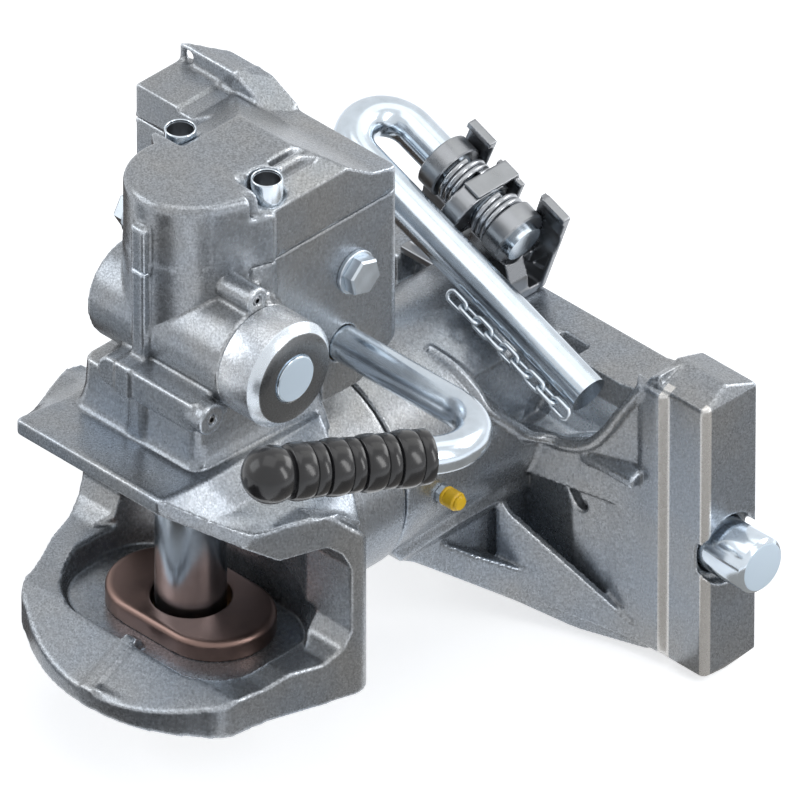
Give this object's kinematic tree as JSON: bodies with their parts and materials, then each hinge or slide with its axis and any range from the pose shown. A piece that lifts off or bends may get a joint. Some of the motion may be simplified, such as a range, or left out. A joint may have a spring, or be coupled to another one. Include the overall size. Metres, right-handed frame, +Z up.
{
  "type": "trailer jaw coupling",
  "caption": "Swivelling trailer jaw coupling with a drop pin and bent hand lever, on a slide carrier with side locking pins and a folding release handle.",
  "frame": {"origin": "coupling point: where the coupling pin's axis crosses the head's swivel axis", "axes": "+Z up along the coupling pin, +Y rearwards to the tractor along the swivel axis, +X to the hand lever's side; the drawbar eye enters from -Y"},
  "size_m": [0.378, 0.3319, 0.353],
  "materials": {
    "casting_paint": "silver-grey coat on a fine cast surface",
    "machined_steel": "turned",
    "polished_steel": "ground and polished",
    "chromed_steel": "bright",
    "zinc_steel": "zinc plated",
    "dark_steel": "dark, oiled",
    "spring_steel": "dark wire",
    "copper_steel": "copper-brown hardened",
    "bearing_bronze": "bored",
    "black_rubber": "glossy moulded",
    "yellow_plastic": "moulded"
  },
  "bodies": {
    "carrier": {"carrier_casting": "casting_paint", "swivel_bush_front": "bearing_bronze", "swivel_bush_rear": "bearing_bronze", "grease_nipple": "zinc_steel", "grease_cap": "yellow_plastic", "handle_bracket": "dark_steel", "handle_collars": "dark_steel", "torsion_springs": "spring_steel", "locking_springs": "spring_steel"},
    "head": {"jaw_casting": "casting_paint", "pin_bush_upper": "bearing_bronze", "pin_bush_lower": "bearing_bronze", "wear_plate": "copper_steel", "wear_plate_screws": "dark_steel", "mechanism_housing": "casting_paint", "housing_cover": "casting_paint", "cover_screws": "zinc_steel", "cross_end_cap": "machined_steel", "cross_axle": "machined_steel", "roll_pins": "dark_steel", "hexagon_plug": "zinc_steel", "side_plug": "zinc_steel", "lever_bushes": "bearing_bronze", "closing_spring": "spring_steel", "swivel_washer": "zinc_steel", "swivel_nut": "zinc_steel"},
    "pin": {"coupling_pin": "polished_steel", "lift_cross_pin": "machined_steel"},
    "lever": {"hand_lever": "chromed_steel", "lever_grip": "black_rubber", "lift_fork": "dark_steel", "fork_key": "machined_steel"},
    "handle": {"release_handle": "chromed_steel", "release_cam": "dark_steel", "chain_links": "zinc_steel"},
    "plate": {"release_plate": "dark_steel"},
    "lock_left": {"locking_pin_left": "machined_steel"},
    "lock_right": {"locking_pin_right": "machined_steel"}
  },
  "joints": [
    {"name": "head_swivel", "type": "hinge", "parent": "carrier", "child": "head", "pos_m": [0, 0, 0], "axis": [0, 1, 0], "continuous": true},
    {"name": "lever_swing", "type": "hinge", "parent": "head", "child": "lever", "pos_m": [0, 0.07, 0.109], "axis": [-1, 0, 0], "range_deg": [0, 76.6]},
    {"name": "pin_lift", "type": "slide", "parent": "head", "child": "pin", "axis": [0, 0, 1], "range_m": [0, 0.0982]},
    {"name": "handle_swing", "type": "hinge", "parent": "carrier", "child": "handle", "pos_m": [0.013, 0.233, 0.076], "axis": [-0.927, 0, 0.375], "range_deg": [0, 90]},
    {"name": "release_lift", "type": "slide", "parent": "carrier", "child": "plate", "axis": [0, 0, 1], "range_m": [0, 0.0131]},
    {"name": "lock_left_slide", "type": "slide", "parent": "carrier", "child": "lock_left", "axis": [1, 0, 0], "range_m": [0, 0.0261], "deforming": ["locking_springs"]},
    {"name": "lock_right_slide", "type": "slide", "parent": "carrier", "child": "lock_right", "axis": [-1, 0, 0], "range_m": [0, 0.0261], "deforming": ["locking_springs"]}
  ],
  "couplings": [
    {"joint": "pin_lift", "follows": "lever_swing", "m_per_rad": 0.0733},
    {"joint": "release_lift", "follows": "handle_swing", "m_per_rad": 0.008276},
    {"joint": "lock_left_slide", "follows": "handle_swing", "m_per_rad": 0.016552},
    {"joint": "lock_right_slide", "follows": "handle_swing", "m_per_rad": 0.016552}
  ]
}
